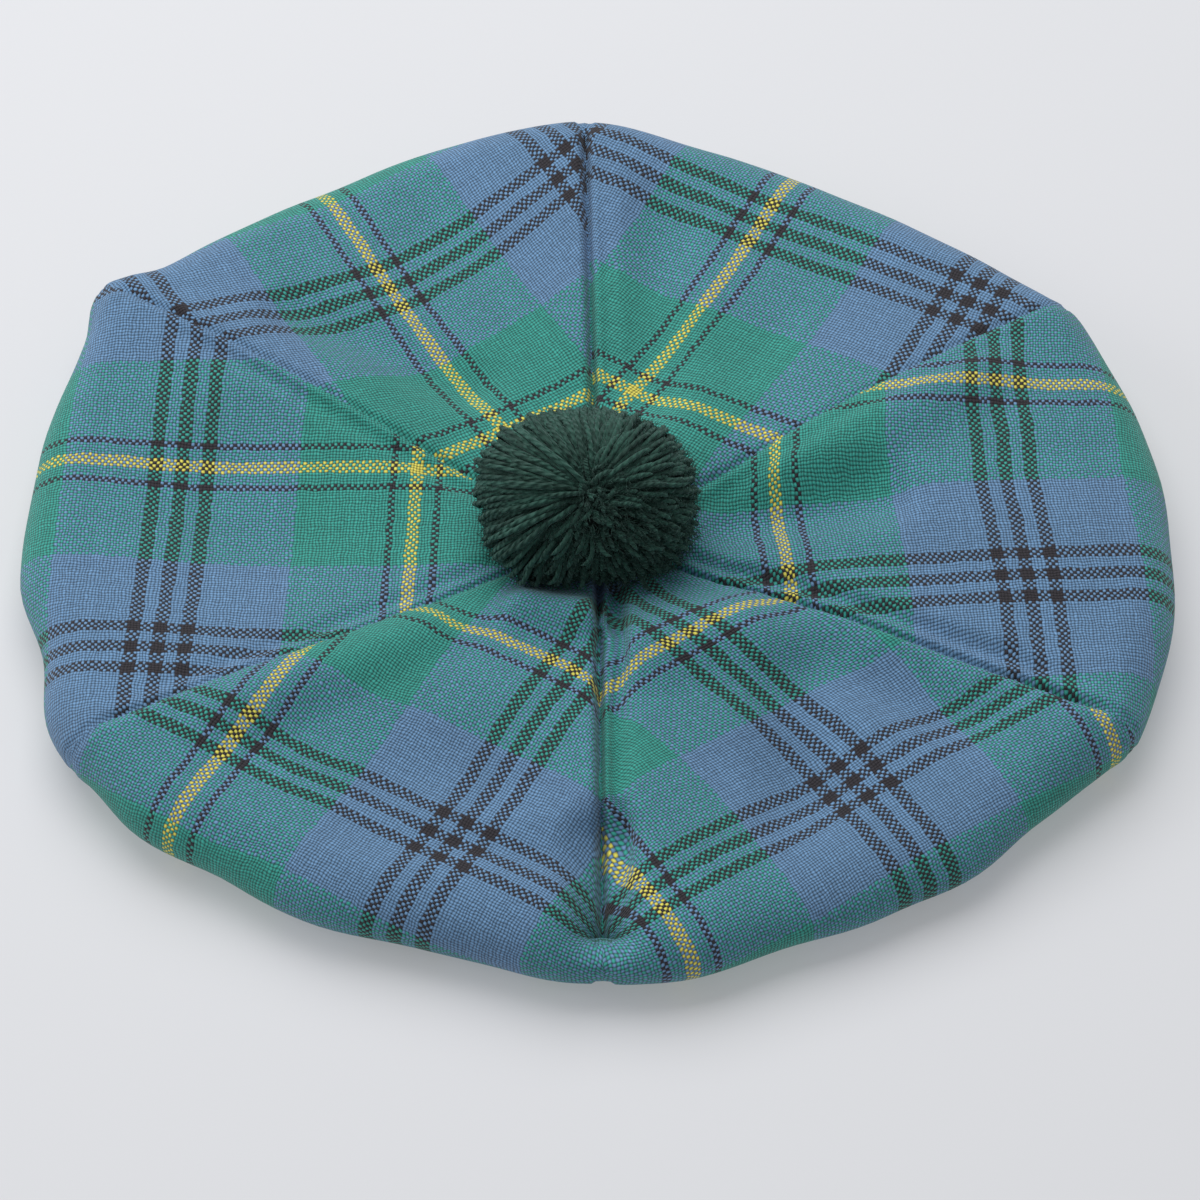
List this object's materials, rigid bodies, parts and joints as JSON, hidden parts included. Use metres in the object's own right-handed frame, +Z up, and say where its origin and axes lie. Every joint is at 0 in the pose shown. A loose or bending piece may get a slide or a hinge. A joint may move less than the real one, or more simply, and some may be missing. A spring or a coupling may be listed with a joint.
{
  "type": "tam o' shanter hat with pompom",
  "caption": "Flat round soft cap of wedge-shaped tartan wool gores with a full rolled rim, a turned-up headband inside and a wool yarn pompom on top, lying flat.",
  "frame": {"origin": "on the table, under the middle of the hat as it lies flat", "axes": "+Z up through the crown and the pompom; +X to the wearer's left as the hat is seen from the front (-Y) side"},
  "size_m": [0.2892, 0.2678, 0.0531],
  "materials": {
    "tartan_wool": "plain-woven wool tartan in blue and green with black lines and a yellow overcheck",
    "headband_wool": "the same plain-woven wool tartan, folded double",
    "pompom_yarn": "dark bottle green wool yarn, cut pile"
  },
  "bodies": {
    "root": {"crown_gore_1": "tartan_wool", "crown_gore_2": "tartan_wool", "crown_gore_3": "tartan_wool", "crown_gore_4": "tartan_wool", "crown_gore_5": "tartan_wool", "crown_gore_6": "tartan_wool", "headband": "headband_wool", "pompom": "pompom_yarn"}
  },
  "joints": []
}
